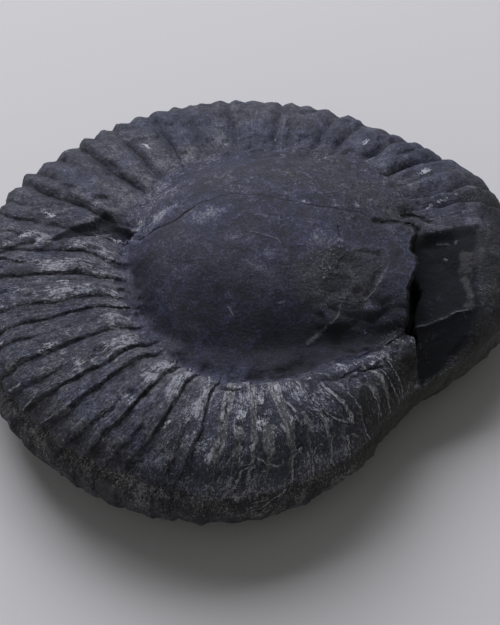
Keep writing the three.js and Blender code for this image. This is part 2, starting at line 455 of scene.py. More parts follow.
# %% Noise on points in space
def noise(points, size, seed):
    """Value noise from -1 to 1: fixed numbers on a grid of `size`, blended smoothly."""
    grid = points / size
    cell = np.floor(grid).astype(np.int64)
    t = grid - cell
    t = t * t * (3 - 2 * t)
    total = 0.0
    for corner in range(8):
        bits = np.array([corner & 1, corner >> 1 & 1, corner >> 2 & 1])
        weight = np.prod(np.where(bits, t, 1 - t), axis=-1)
        i, j, k = np.moveaxis(cell + bits, -1, 0)
        h = (i * 374761393 + j * 668265263 + k * 974634777 + seed * 1274126177) & 0xFFFFFFFF
        h = ((h ^ (h >> 13)) * 1274126177) & 0xFFFFFFFF
        total = total + weight * ((h ^ (h >> 16)) & 0xFFFF) / 65535
    return 2 * total - 1


def layered(points, size, seed, layers=3):
    """Noise on noise: each layer has half the size and half the strength."""
    return sum(noise(points, size / 2**k, seed + k) / 2**k for k in range(layers))


three_places = np.array([[0, 0, 0], [1.5, 0, 0], [3, 0, 0]])
print("noise at three places:", noise(three_places, 3.0, 1).round(2))

# %% The shape of a rib from one groove to the next
wobble = 0.12 * layered(base, 3.6, 30)
calm = between(degrees, 12, 165, 16)  # 1 round the back, where the ribs are softer
part = np.clip(part_of + wobble * np.sin(np.pi * part_of), 0, 1)
in_ribs = (rib_of < ribs) + 0 * degrees
left_depth = groove_strength(rib_of, travel)
left_depth = np.where(in_ribs > 0, left_depth, left_depth * (1 - step(0, 0.05, part)))
right_depth = groove_strength(np.minimum(rib_of + 1, ribs), travel) * in_ribs
gentle = np.clip(1 - part / CREST_AT, 0, 1) ** (0.9 + 0.9 * calm)
steep = step(CREST_AT - 0.04, 1.0, part)
cut = np.maximum(left_depth * gentle, right_depth * steep)
rounded = left_depth * (1 - step(0, 0.6, part)) + right_depth * step(0.5, 1, part)
cut = mix(cut, rounded, 0.75 * between(degrees, 50, 168, 16))
across = 1 - cut / np.maximum(np.maximum(left_depth, right_depth), 0.25)
at_rim = 1 - 0.2 * between(degrees, 35, 118, 25) * step(0.55, 0.9, travel)
at_rim = at_rim * (1 - 0.4 * between(degrees, 52, 135, 16) * (1 - step(0.0, 0.2, travel)))
depth = ring_value(GROOVE_DEPTHS, degrees) * (1 - between(degrees, -44, 19, 4))
rib_lift = depth * (0.25 * step(0.3, 0.6, travel) * (travel < 1.3) * in_ribs - cut) * at_rim
rib_width = np.pi / 180 * radius * RIB_DEGREES
groove_mm = np.minimum(np.where(left_depth > 0.2, part * rib_width, FAR_AWAY),
                       np.where(right_depth > 0.2, (1 - part) * rib_width, FAR_AWAY))
groove_mm = np.where((travel > -0.02) & (in_ribs > 0), groove_mm, FAR_AWAY)
print("deepest groove, mm:", round(float(-rib_lift.min()), 2))

# %% [markdown]
# ## Cracks, scars and breaks
#
# Damage is what makes this stone this stone. Each crack is a broken line seen from
# above. A mesh with points half a millimetre apart can't hold a hair crack, so each
# point stores its signed distance to the line instead. The distance changes evenly
# from point to point, and the material can paint a crack's shade as a sharp thin dark
# line where it is zero.


# %% How far a point is from a line or an outline
def signed_line(x, y, points):
    """Distance to a broken line seen from above, positive on its left, and a mask.

    The nearest point on each straight run is found, and the closest run is kept.
    The mask is 1 within 3 mm of the line and fades out over its last 1.5 mm.
    """
    best, along, length = np.full(x.shape, 1e3), np.zeros(x.shape), 0.0
    for (ax, ay), (bx, by) in zip(points, points[1:]):
        run = np.hypot(bx - ax, by - ay)
        ux, uy = (bx - ax) / run, (by - ay) / run
        t = np.clip((x - ax) * ux + (y - ay) * uy, 0, run)
        away = np.hypot(x - ax - t * ux, y - ay - t * uy)
        side = np.where(ux * (y - ay) - uy * (x - ax) < 0, -1.0, 1.0)
        closer = away < np.abs(best)
        best = np.where(closer, side * away, best)
        along = np.where(closer, length + t, along)
        length += run
    near = 1 - step(2, 3, np.abs(best))
    return best, near * step(0, 1.5, along) * step(0, 1.5, length - along)


def outline_distance(x, y, points):
    """Distance to a closed outline seen from above, negative inside it."""
    best, inside = np.full(x.shape, 1e3), np.zeros(x.shape, bool)
    for (ax, ay), (bx, by) in zip(points, points[1:] + points[:1]):
        run = np.hypot(bx - ax, by - ay)
        ux, uy = (bx - ax) / run, (by - ay) / run
        t = np.clip((x - ax) * ux + (y - ay) * uy, 0, run)
        best = np.minimum(best, np.hypot(x - ax - t * ux, y - ay - t * uy))
        if ay != by:
            crosses = (ay > y) != (by > y)
            inside ^= crosses & (x < ax + (y - ay) / (by - ay) * (bx - ax))
    return np.where(inside, -best, best)


print("2 mm to the left of a line:", signed_line(np.zeros(1), np.full(1, 2.0), [(-5, 0), (5, 0)])[0])


# %% Many lines at once
def drawn_lines(lines, sway, soft, allowed=1.0):
    """Lines seen from above, each with its height or depth and its width.

    Gives three values at every point: the signed distance to the nearest line over
    that line's width, a mask that is 0 away from all of them, and the sum of
    height * exp(-(distance / (width + soft))^2).
    """
    nearest, shown, lift = np.full(x.shape, FAR_AWAY), np.zeros(x.shape), 0
    for points, height, width in lines:
        side, on = signed_line(x, y, points)
        side, on = side + sway, on * allowed
        nearer = (np.abs(side) < np.abs(nearest)) & (on > 0)
        nearest, shown = np.where(nearer, side / width, nearest), np.where(nearer, on, shown)
        lift = lift + height * np.exp(-((side / (width + soft)) ** 2)) * on
    return nearest, shown, lift


# %% Cracks: points, depth, width
CRACKS = [
    # the long crack over the top of the dome, from the left seam to the hollow
    ([(-31, 7.9), (-29, 7.4), (-25.3, 6.6), (-21.9, 5.9), (-19, 7.5), (-15, 9.9)], 0.4, 0.4),
    ([(-15.5, 9.9), (-12.1, 10), (-9.4, 10.5), (-5.9, 11.4), (-2.2, 10.7), (3, 10.1), (10.4, 9)],
     0.15, 0.11),
    ([(9, 9.2), (12.7, 8.5), (19.1, 8.3), (24.8, 8.7), (29.4, 7.2), (33, 8)], 0.3, 0.2),
    # cracks along the lower and upper edges of the scar
    ([(20, -16.6), (22, -16.3), (24, -16.7), (26, -16.1)], 0.2, 0.17),
    ([(24, -4.2), (26, -3.8), (28.3, -3.4)], 0.15, 0.12),
    # a short one beside the scar
    ([(19.9, 3.2), (20.2, 0.6), (20.6, -1.6)], 0.25, 0.22),
    # the edge of a flake at the front seam
    ([(-8.8, -38.2), (-7.2, -40), (-5.1, -39.9), (-3, -40.4)], 0.5, 0.6),
    # the inner edge of the smooth worn patch, front right
    ([(14, -37.6), (17, -36.9), (19.5, -36.2), (23.1, -33.6), (28.1, -32), (31, -31)], 0.45, 0.5),
    # gaps where the dome's tongue has come loose at its upper end
    ([(28.5, 7.5), (30.7, 6.4), (33.4, 8), (35.7, 8.6), (38.2, 8.6), (41.5, 13.4)], 0.9, 0.9),
    ([(36.2, 13.2), (39.2, 17), (41.3, 16.9), (45.5, 15.2)], 0.8, 0.7),
    # the notch across the left ribs
    ([(-67, 6.4), (-63, 5.9), (-60.1, 6.9), (-55.5, 6.6)], 1.0, 0.9),
]
ragged_edge = 0.35 * noise(base, 1.7, 40) + 0.2 * noise(base, 0.8, 41)
crack_side, crack_on, crack_dip = drawn_lines(CRACKS, ragged_edge, 0.25, z > 22)
print(len(CRACKS), "cracks, the deepest", round(float(crack_dip.max()), 2), "mm")

# %% Raised light lines, veins and scratches: points, height, width
VEINS = [
    ([(38.6, -17), (38.7, -15.1), (41.5, -13.9), (44.7, -12), (47.5, -11), (50, -9.5),
      (54.4, -9.1)], 0.35, 0.3),
    ([(20.3, -16.7), (19.9, -19.2), (17.2, -22)], 0.15, 0.3),
    ([(17.2, -21.6), (16.3, -22.5), (14, -24), (11.2, -25.6)], 0.15, 0.5),
    ([(21.6, -5.2), (20.6, -6), (18.9, -8.2)], 0.1, 0.16),
    ([(-2.3, -0.8), (1.2, -2.1), (4.6, -3), (6.4, -4.6)], 0.05, 0.22),
    ([(5.4, 4.3), (5.6, 2.6), (5, 0.5)], 0.05, 0.25),
    ([(10, 9.3), (11.4, 9), (12.8, 9.1)], 0.1, 0.45),
    ([(30.6, -9.9), (28.9, -13.2), (27.1, -15.2), (25.6, -16.2)], 0.15, 0.22),
    ([(45.4, 10.5), (47.8, 9.9), (49.6, 9.6)], 0.3, 0.4),
    ([(50.3, 9), (51.4, 10.8)], 0.3, 0.5),
    ([(47, 6.3), (49, 5.1)], 0.15, 0.4),
    ([(-7.6, -18.4), (-5.4, -20.9)], 0.03, 0.3),
    ([(4.3, -18.4), (7.3, -17.3)], 0.03, 0.3),
]
vein_side, vein_on, vein_lift = drawn_lines(VEINS, 0.3 * noise(base, 2.1, 50), 0.3)
print(len(VEINS), "veins, the highest", round(float(vein_lift.max()), 2), "mm")

# %% The scar on the dome, below the edge of the smooth tongue
SCAR_OUTLINE = [(19.1, -7.5), (21.2, -5.5), (25, -3.7), (28.2, -3), (31.2, -2.7), (31.3, -6.1),
                (30.9, -9.4), (29.1, -12.9), (27, -15.9), (25, -16.2), (19.8, -16.6),
                (15.5, -16.6), (16.5, -13.6), (17.9, -11)]
SCAR_SHADOW = [(22.5, -2.8), (19.6, -5.2), (17.2, -8.3), (16.2, -12), (17, -16)]
on_dome = travel < 0.02
inside = outline_distance(x, y, SCAR_OUTLINE) + 0.35 * noise(base, 1.9, 60)
scar = step(0.25, -0.35, inside) * on_dome * step(-3, 2, x - 17.5)
scar_lift = -scar * (0.55 + 0.3 * layered(base, 2.4, 61) - 0.6 * np.abs(noise(base, 2.7, 68)))
fringe = 0.4 * np.exp(-(((inside + 0.8) / 0.8) ** 2)) * step(27, 30, x)
shadow_side, shadow_on = signed_line(x, y, SCAR_SHADOW)
scar_shade = np.exp(-((shadow_side / 1.7) ** 2)) * shadow_on
scar_lift = scar_lift - (fringe + 0.3 * scar_shade) * on_dome
print("scar, mm below the dome:", round(float(-scar_lift.min()), 2))

# %% Rough ground around the scar, and a shallow valley in front of it
ROUGH_GROUND = [(12, -3.5), (18.5, -2), (22, -5), (31, -4), (29, -13), (25, -16), (19, -18),
                (12, -18), (10.5, -12)]
VALLEY = [(4, -26), (13, -25.5), (21, -24), (29, -23)]
rough_ground = outline_distance(x, y, ROUGH_GROUND) + 2.2 * layered(base, 5, 62)
rough_ground = step(2, -1.5, rough_ground) * on_dome
valley = np.exp(-((signed_line(x, y, VALLEY)[0] / 3.2) ** 2))
scar_lift = scar_lift - 0.5 * valley * on_dome
print("points of rough ground:", int((rough_ground > 0.5).sum()))

# %% Small broken facets at the foot of the dome, and the pitted slope behind it
ROUGH_FACETS = [(13.5, -20), (16, -18.5), (20, -17), (27.7, -16.8), (31, -14), (36.5, -12.5),
                (36.5, -21), (34, -24), (29.5, -25.5), (22.8, -26.2), (17.5, -25), (14.5, -22)]
facet = outline_distance(x, y, ROUGH_FACETS) + 0.9 * layered(base, 2.6, 63)
facet = step(0.9, -0.7, facet)
facet_dip = 0.4 + 0.4 * layered(base, 4, 64) - 1.5 * np.abs(noise(base, 3.0, 69))
worn_back = between(degrees, 8, 78, 16) * window(travel, -0.62, 0.16, 0.16)
worn_back = worn_back * step(-0.6, 0.5, layered(base, 7, 66) + 0.3)
scar_lift = scar_lift + 0.22 * worn_back * layered(base, 2.2, 67) - facet * facet_dip * on_dome
print("facets and scar reach", round(float(-scar_lift.min()), 2), "mm in")

# %% The wedge broken out of the left ribs
WEDGE_TOP = ([-56, -52.9, -50, -47.2, -44.1, -41.4, -40.4, -38.9, -37.2, -35, -33, -31.2, -30],
             [6.6, 7.4, 9.2, 11.7, 12.4, 13.2, 15.8, 17.6, 16.4, 14, 12.9, 11.2, 10.4])
WEDGE_FOOT = ([-56, -52.9, -49.7, -46.3, -42.3, -39.8, -37.4, -35.3, -33.9, -32.8, -31.2, -30],
              [6.3, 6.7, 7.2, 7.8, 8.8, 9.9, 10.7, 9.5, 8.8, 9.4, 10.6, 10.3])
top_edge = np.interp(x, *WEDGE_TOP) + 0.35 * noise(base, 2.0, 70)
foot_edge = np.interp(x, *WEDGE_FOOT) + 0.3 * noise(base, 1.5, 71)
down_face = (top_edge - y) / np.maximum(top_edge - foot_edge, 0.3)
wedge_depth = np.interp(x, [-56, -52, -46, -41, -37.5, -35.5, -33, -30],
                        [0, 0.6, 1.7, 2.0, 2.2, 2.2, 2.2, 0])
in_wedge = window(x, -56.5, -29.5, 0.8) * (z > 25)
wedge = step(-0.05, 0.5, down_face) * (1 - step(0.95, 1.2, down_face)) * in_wedge
wedge_face = step(-0.04, 0.06, down_face) * (1 - step(0.92, 1.02, down_face)) * in_wedge
wedge_lift = -wedge_depth * wedge
print("wedge, mm deep:", -wedge_lift.min().round(2))

# %% [markdown]
# ## Worn and weathered places
#
# The ribs are rubbed and chipped, silt still fills the groove along the rim, the dome
# is smooth with shallow dents, and the hollow shows clean broken stone. Noise that is
# computed once, here, gives each place its own lumps, and finer grain is left to the
# material. A sculpted mesh could do the same, but could not be read as a list of causes.

# %% The silted groove along the rim
# How far out the ribs end and the silt begins, every 30 degrees.
SILT_EDGE = [0.97, 0.97, 0.97, 0.97, 0.93, 0.88, 0.84, 0.815, 0.84, 0.93, 1.0, 0.98]
silt_line = ring_value(SILT_EDGE, degrees) + 0.015 * noise(base, 9, 80)
silt_line = silt_line + 0.012 * layered(base, 2.8, 82) + 0.02 * across
silt_where = between(degrees, 176, 330, 14)
silt = step(-0.012, 0.012, travel - silt_line) * silt_where
silt = silt * (1 - step(silt_line + 0.05, 1.12, travel))
silt_lift = -(0.35 + 0.65 * between(degrees, 110, 258, 20)) * silt * (1 + 0.4 * noise(base, 3, 81))
lower_flank = window(travel, 1.0, 1.9, 0.06)
print("points under silt:", int((silt > 0.5).sum()))

# %% Where the stone is smooth or broken
bent = front_turn(degrees, radius)
broken_face = between(bent, HOLLOW_FROM, HOLLOW_TO, 1.0) * window(travel, -0.001, 0.62, 0.001)
smooth_wall = between(degrees, -62, 22, 10) * step(0.3, 0.6, travel) * (1 - step(1.6, 2, travel))
collar = between(bent, -44, -28.5, 1.5) * window(travel, -0.06, 0.75, 0.1)
worn_patch = between(degrees, 296.5, 312, 1.5) * window(travel, 0.27, 0.66, 0.08)
print("points on the broken face:", int((broken_face > 0.5).sum()))

# %% Lumps, chips and pits
roughness_of = 0.16 + 0.16 * on_flank + 0.35 * collar - 0.12 * smooth_wall - 0.14 * broken_face
roughness_of = roughness_of - 0.1 * window(travel, -1.1, -0.08, 0.05) - 0.2 * worn_patch
lumps = 0.35 * layered(base, 9, 90, 2) + roughness_of * layered(base, 3.2, 91, 3)
seam_ends = np.exp(-((travel / 0.09) ** 2)) * between(degrees, 20, 330, 8)
lumps = lumps + (0.8 - 0.5 * calm) * seam_ends * layered(base, 3.2, 93, 3)
fillet = np.clip(1 - np.abs(from_seam) / (2.5 + 2.5 * calm), 0, 1) ** 2
lumps = lumps + (0.6 + 0.5 * calm) * fillet * closed
lumps = lumps + 0.55 * (lower_flank + 0.7 * silt) * layered(base, 3.4, 94, 3)
chips = step(0.42, 0.62, layered(base, 4.2, 95, 2)) * on_flank
chips = chips * (1 - smooth_wall) * (1 - broken_face)
lumps = lumps - 0.45 * chips * (0.4 + across)
pits = step(0.5, 0.8, noise(base, 1.6, 96)) * (0.12 + 0.25 * collar + 0.2 * lower_flank)
# one pebble of stone stuck to the lower rim at the left
pebble = np.hypot(np.radians(turn_to(degrees, 238)) * radius / 3.7, 32 * (travel - 1.06) / 3.1)
pebble = step(1.2, 0.85, pebble + 0.2 * noise(base, 2.5, 99))
lumps = lumps + 0.8 * pebble
facets = 0.5 * np.abs(noise(base * [0.6, 1, 1], 7, 97)) * broken_face
on_face = 1 - step(1.9, 2.0, travel)  # 0 on the worn flat underside
print("lumps, mm:", lumps.min().round(2), "to", lumps.max().round(2))

# %% Move every point along the way its place faces
rib_keep = (1 - 0.85 * worn_patch) * (1 - 0.7 * wedge)
lift = rib_lift * rib_keep - crack_dip + vein_lift + scar_lift + wedge_lift + silt_lift
lift = (lift + lumps - pits + facets) * on_face
points = base + lift[..., None] * outward
points[..., 2] = np.maximum(points[..., 2], 0)
low, high = points.reshape(-1, 3).min(0), points.reshape(-1, 3).max(0)
middle = 500 * (np.array(cad_low) + np.array(cad_high)) - 0.5 * (low + high)
middle[2] = 0
print("visual box, mm:", (high - low).round(1), "coil's middle at", middle[:2].round(2))

# %% [markdown]
# ## From grid to mesh
#
# A row near a middle keeps every second or fourth column, and so on. Where two rows keep
# the same columns they are joined by pairs of triangles. Where one keeps half as many,
# three triangles fan across each step. The faces are worked out as whole rows of
# numbers, and the first and last row each shrink to a single point that closes the top
# and the bottom.

# %% Which columns each row keeps
MOST_CROWDED = 0.62  # mm between neighbours, below which a row keeps fewer columns
room = 2 * np.pi * radius.mean(axis=1) / COLUMNS
stride = np.ones(len(base), int)
for k in (2, 4, 8, 16, 32):
    stride = np.where(room * k < MOST_CROWDED, k, stride)
kept = np.zeros(base.shape[:2], bool)
for row, k in enumerate(stride):
    kept[row, ::k] = True
kept[0], kept[-1] = False, False
kept[0, 0] = kept[-1, 0] = True
number = np.cumsum(kept.ravel()).reshape(kept.shape) - 1
number[0], number[-1] = number[0, 0], number[-1, 0]


def join(a, b):
    """Triangles between row a and the next row b, whatever columns they keep."""
    ka, kb = stride[a], stride[b]
    k = max(ka, kb)
    start = np.arange(0, COLUMNS, k)
    half, end = (start + k // 2) % COLUMNS, (start + k) % COLUMNS
    na, nb = number[a], number[b]
    if ka == kb:
        faces = [(na[start], nb[start], nb[end]), (na[start], nb[end], na[end])]
    elif ka < kb:
        faces = [(na[start], nb[start], na[half]), (na[half], nb[start], nb[end]),
                 (na[half], nb[end], na[end])]
    else:
        faces = [(na[start], nb[start], nb[half]), (na[start], nb[half], na[end]),
                 (na[end], nb[half], nb[end])]
    faces = np.concatenate([np.stack(f, -1) for f in faces])
    ok = (faces[:, 0] != faces[:, 1]) & (faces[:, 1] != faces[:, 2]) & (faces[:, 0] != faces[:, 2])
    return faces[ok]


stride[0], stride[-1] = stride[1], stride[-2]
triangles = np.concatenate([join(i, i + 1) for i in range(len(base) - 1)])
print("points:", int(kept.sum()), "triangles:", len(triangles))

# %% Build the mesh
mesh = bpy.data.meshes.new("ammonite_fossil")
vertices = (points[kept] + middle) / 1000
mesh.vertices.add(len(vertices))
mesh.vertices.foreach_set("co", vertices.astype(np.float32).ravel())
mesh.loops.add(3 * len(triangles))
mesh.loops.foreach_set("vertex_index", triangles.astype(np.int32).ravel())
mesh.polygons.add(len(triangles))
mesh.polygons.foreach_set("loop_start", np.arange(0, 3 * len(triangles), 3, dtype=np.int32))
mesh.polygons.foreach_set("loop_total", np.full(len(triangles), 3, dtype=np.int32))
mesh.polygons.foreach_set("use_smooth", np.ones(len(triangles), bool))
mesh.update(calc_edges=True)
mesh.validate()
fossil = bpy.data.objects.new("ammonite_fossil", mesh)
bpy.context.scene.collection.objects.link(fossil)
print("faces that were made:", len(mesh.polygons))

# %% [markdown]
# ## What the material needs to know
#
# Each point also carries a few plain numbers: how far it is from a groove or a crack,
# how rubbed, dusty, silted or freshly broken its place is, and where shade or a
# highlight is painted. The material reads them by name. Painting a picture could do
# this too, but numbers on points follow the shape when a measure changes.

# %% Light mineral lines on the ribs: (direction, share of the way out), then width
MINERAL_LINES = [
    ([(283, 0.18), (286, 0.34), (289, 0.45), (291, 0.54), (294, 0.62), (296.5, 0.70)], 0.45),
    ([(291, 0.24), (294, 0.37), (295.8, 0.49), (296.5, 0.60), (297, 0.70)], 0.8),
    ([(295.5, 0.76), (298.4, 0.86)], 0.55),
    ([(287, 0.73), (286, 0.70), (285, 0.71), (284, 0.77), (283.7, 0.92), (284, 1.0)], 0.4),
    ([(291.6, 0.69), (290, 0.70), (289.2, 0.77), (289, 0.90), (290, 1.0)], 0.4),
    ([(280.5, 0.67), (278.8, 0.70), (278.2, 0.80), (278, 0.92), (278.2, 1.0)], 0.5),
    ([(293.4, 0.70), (294.2, 0.80), (294.8, 1.0)], 0.4),
    ([(300, 0.72), (301, 0.88), (302.4, 1.0)], 0.45),
    ([(305.8, 0.57), (307, 0.72), (307.6, 0.86)], 0.45),
    ([(312.8, 0.38), (313.8, 0.58), (314.6, 0.72), (317, 0.97)], 0.5),
    ([(310.5, 0.75), (312.3, 0.95)], 0.45),
    ([(317, 0.36), (316.8, 0.52), (318.2, 0.80), (319, 0.97)], 0.45),
    ([(269.2, 0.50), (268.8, 0.62), (268.3, 0.72), (267, 0.82)], 0.7),
    ([(265.5, 0.78), (264, 0.88)], 0.5),
    ([(268.5, 0.76), (267, 0.86)], 0.5),
    ([(253.8, 0.20), (252.5, 0.10), (250.6, 0.02)], 0.5),
    ([(245.6, 0.20), (244, 0.09), (241.5, 0.0)], 0.6),
    ([(238, 0.14), (236, 0.05), (234.5, 0.0)], 0.6),
    ([(259.3, 0.24), (260.8, 0.38)], 0.7),
    ([(277, 0.24), (279.4, 0.33), (281.3, 0.39)], 0.4),
    ([(306.3, 0.22), (307, 0.12), (308.3, 0.03)], 0.45),
    ([(216, 0.64), (214.3, 0.82)], 0.35),
    ([(222, 0.66), (219.6, 0.81)], 0.3),
    ([(211, 0.66), (209.2, 0.79)], 0.4),
    ([(268, 1.12), (271.5, 1.10), (275.5, 1.03), (277.5, 0.97)], 0.6),
    ([(269.5, 0.63), (272, 0.69), (274.5, 0.74), (276, 0.74)], 0.35),
    ([(265, 0.85), (266, 0.72), (269, 0.69)], 0.6),
]
print(len(MINERAL_LINES), "mineral lines")


# %% How far every point is from the nearest mineral line
MM_PER_DEGREE = 0.95  # round the middle of the flank
LINE_WIDTH = 0.55     # of the widths in the list, which are those of the whole streak


def unrolled(turned, out):
    """A place on the flank as millimetres round and out, so that lengths are true."""
    return MM_PER_DEGREE * turn_to(turned, 200), FLANK_MM * out


round_mm, out_mm = unrolled(degrees, travel)
line_side, line_on = np.full(x.shape, FAR_AWAY), np.zeros(x.shape)
line_sway = 0.3 * noise(base, 1.9, 51) + 0.2 * noise(base, 0.9, 52)
for line, width in MINERAL_LINES:
    side, on = signed_line(round_mm, out_mm, [unrolled(*place) for place in line])
    side = (side + line_sway) / (LINE_WIDTH * width)
    nearer = (np.abs(side) < np.abs(line_side)) & (on > 0)
    line_side, line_on = np.where(nearer, side, line_side), np.where(nearer, on, line_on)
print("points on a mineral line:", int(((np.abs(line_side) < 1) & (line_on > 0)).sum()))

# %% White clots on the ribs: direction, share of the way out, size
CLOTS = [(279.4, 0.44, 1.6), (280.3, 0.67, 1.5), (271.3, 0.40, 2.1), (265.5, 0.33, 1.6),
         (258.8, 0.61, 1.5), (296.3, 0.63, 1.1), (276, 0.18, 1.1), (300.8, 0.17, 0.9),
         (288, 0.18, 1.0), (291.6, 0.20, 0.8), (268.8, 0.55, 1.2), (282, 0.47, 1.2),
         (270.8, 0.25, 1.3), (306.3, 0.18, 1.0), (311.9, 0.28, 1.1), (218.3, 0.10, 1.0),
         (209.3, 0.79, 0.8), (199.5, 0.64, 0.7), (189.8, 0.55, 0.6), (188.5, 0.27, 0.8),
         (181.5, 0.20, 1.5), (195, 0.09, 1.3), (208.5, 0.43, 1.6), (192.5, 0.26, 1.3),
         (126, 0.27, 0.7), (170.8, 0.41, 1.3), (166, 0.06, 1.2), (163.5, 0.33, 1.1),
         (177, 0.08, 0.9), (232, 0.50, 0.9), (247, 0.42, 1.0), (36.5, 0.28, 1.3),
         (25, 0.17, 1.1), (25.3, 0.25, 0.9), (26, 0.32, 0.6), (55.5, 0.26, 0.9),
         (83.5, 0.15, 0.5), (102.5, 0.10, 0.6), (96, 0.17, 0.5), (59, 0.10, 0.6),
         (71, 0.06, 0.5)]
clot = np.zeros(x.shape)
for where, out, size in CLOTS:
    away = np.hypot(np.radians(turn_to(degrees, where)) * radius, 25 * (travel - out))
    clot = np.maximum(clot, np.exp(-((away / (0.8 * size)) ** 2)))
print(len(CLOTS), "clots")

# %% Soft light marks on the dome: x, y, half length, half width, turn, strength
MARKS = [(-13, 4.9, 4.5, 1.8, 5, 1.6), (-3.8, -3.7, 4.5, 1.6, -15, 0.6),
         (1.8, -6.6, 2.6, 1.2, 10, 0.7), (-6, -18.4, 2.6, 3.0, 0, 0.5),
         (5.7, -18, 2.2, 1.2, 25, 0.9), (14.3, -1.5, 3.5, 4.5, 0, 0.8),
         (13, -24, 3.4, 1.1, 35, 1.0), (-24.5, 11.2, 5, 2.4, 35, 1.5),
         (17.5, -8.2, 3, 2.5, 20, 0.7), (8, 3.5, 3.5, 2.0, -30, 0.6),
         (-24, 21.4, 5, 3, 50, 0.7), (0.5, -10.5, 3, 0.8, -20, 0.7),
         (4, -14, 4, 3, 0, 0.3), (21, -16.5, 3, 2, 30, 0.5), (-18, -9, 4, 3, 60, 0.35),
         (11.4, 9.2, 1.5, 0.4, 5, 3.2), (25, 10.9, 0.7, 0.6, 0, 2.6),
         (15.3, 0.4, 0.7, 0.6, 0, 2.2), (20.4, -1.5, 0.5, 0.5, 0, 2.2),
         (26.1, -22.3, 0.6, 0.5, 0, 2.4), (-30, 12, 3, 1.5, 60, 0.9),
         (13.9, -24, 3.0, 0.7, 33, 2.2), (26.6, -16.6, 1.6, 0.6, 45, 1.8),
         (30.5, -10, 1.5, 0.4, 60, 1.5), (13.5, -11, 1.4, 2.6, 0, 0.8),
         (15, -15.6, 2.6, 0.8, 5, 1.1)]
mark = np.zeros(x.shape)
for mark_x, mark_y, long, wide, turned, strength in MARKS:
    c, t = np.cos(np.radians(turned)), np.sin(np.radians(turned))
    u = ((x - mark_x) * c + (y - mark_y) * t) / long
    v = ((y - mark_y) * c - (x - mark_x) * t) / wide
    mark = np.maximum(mark, strength * np.exp(-(u * u + v * v)))
mark = mark * (travel < 0.1)
print(len(MARKS), "soft marks")

# %% Where pale dust fills the grooves and flecks the ribs at the front
front = between(degrees, 254, 336, 5) * window(travel, 0.0, 1.02, 0.08)
filled = between(degrees, 256, 279, 5) * window(travel, 0.0, 0.66, 0.1)
flecked = between(degrees, 240, 300, 12) * window(travel, 0.02, 1.05, 0.1)
fill_width = 0.15 + 0.6 * step(-0.3, 0.7, noise(base, 6, 120)) + 1.0 * filled
fill_side = groove_mm - fill_width + FAR_AWAY * (1 - front)
print("points in filled grooves:", int((fill_side < 0).sum()))

# %% How much the stone is rubbed pale, where shade is painted, and one painted highlight
# strength; from, to and softness in degrees; from, to and softness on the way out
SHADED_PLACES = [
    (0.7, 225, 322, 14, -0.62, -0.1, 0.14),  # the foot of the dome
    (1.1, 276, 330, 10, -0.3, 0.0, 0.05),    # the valley in front of the scar
    (0.35, 50, 125, 20, -0.6, -0.03, 0.1),   # the slope behind the dome
]
left_ribs = between(degrees, 125, 262, 10) * window(travel, 0.0, 0.75, 0.1)
back_ribs = between(degrees, 18, 130, 8) * window(travel, 0.0, 0.75, 0.1)
seam_chalk = step(-0.03, 0.03, travel + 0.02 * layered(base, 3, 123))
seam_chalk = between(degrees, 100, 262, 12) * seam_chalk * (1 - step(0.1, 0.26, travel))
seam_chalk = seam_chalk + between(degrees, 100, 175, 12) * window(travel, -0.32, 0.06, 0.1)
seam_chalk = seam_chalk + 0.5 * between(degrees, 262, 325, 8) * window(travel, -0.04, 0.22, 0.06)
rub = (1 - 0.6 * calm) * (1 - 0.2 * calm) * left_ribs + (0.8 - 0.1 * calm) * seam_chalk
rub = rub + 0.5 * back_ribs + 1.7 * mark + 0.5 * collar
rub = rub + 0.25 * layered(base, 9, 98, 3) * on_flank + 0.15 * front - 0.3 * (1 - on_flank)
# Painted shade: each shaded place is made darker.
for strength, start, end, soft, *way_out in SHADED_PLACES:
    rub = rub - strength * between(degrees, start, end, soft) * window(travel, *way_out)
# Painted highlight: a pale line along the dome's snapped edge above the hollow.
painted_edge_highlight = between(degrees, -27, 17, 2) * step(-0.028, -0.008, travel) * (travel < 0)
rub = rub + 1.6 * painted_edge_highlight
print("rub:", rub.min().round(2), "to", rub.max().round(2))

# %% Brown silt low down, and clean dark stone in the breaks
low_dirt = 0.25 + 0.35 * between(degrees, 176, 345, 14) + 0.4 * between(degrees, 262, 322, 12)
dirt = np.clip(silt + low_dirt * lower_flank + 0.5 * collar, 0, 1)
in_hollow = between(bent, HOLLOW_FROM, HOLLOW_TO - 1, 1.0) * (travel > -0.001) * (travel < 1)
hollow_edge = np.interp(y, [-25, -18.6, -13.9, -7.3, 4, 8, 14],
                        [41.2, 48.5, 53.6, 55.7, 55, 55.5, 57])
fresh = in_hollow * step(1.0, -1.0, x - hollow_edge + 1.1 * layered(base, 4, 121))
# The wedge's broken face is darkened like fresh stone, partly for its fresh stone and partly as
# painted shade of the cut.
fresh = np.clip(fresh + 0.65 * wedge_face * step(0.2, 0.7, wedge_depth), 0, 1)
outer_wall = between(degrees, -62, 24, 6) * step(0.3, 0.6, travel) * (1 - step(1.6, 2, travel))
outer_wall = np.maximum(outer_wall, 0.8 * in_hollow * (1 - step(0.6, 1, travel)))
outer_wall = outer_wall * (1 - fresh)
rough = collar + 0.9 * lower_flank + 0.8 * silt + 0.6 * step(0.8, 0.95, travel) * (travel < 1)
rough = np.clip(rough, 0, 1)
print("share of points on fresh stone:", (fresh > 0.5).mean().round(3))
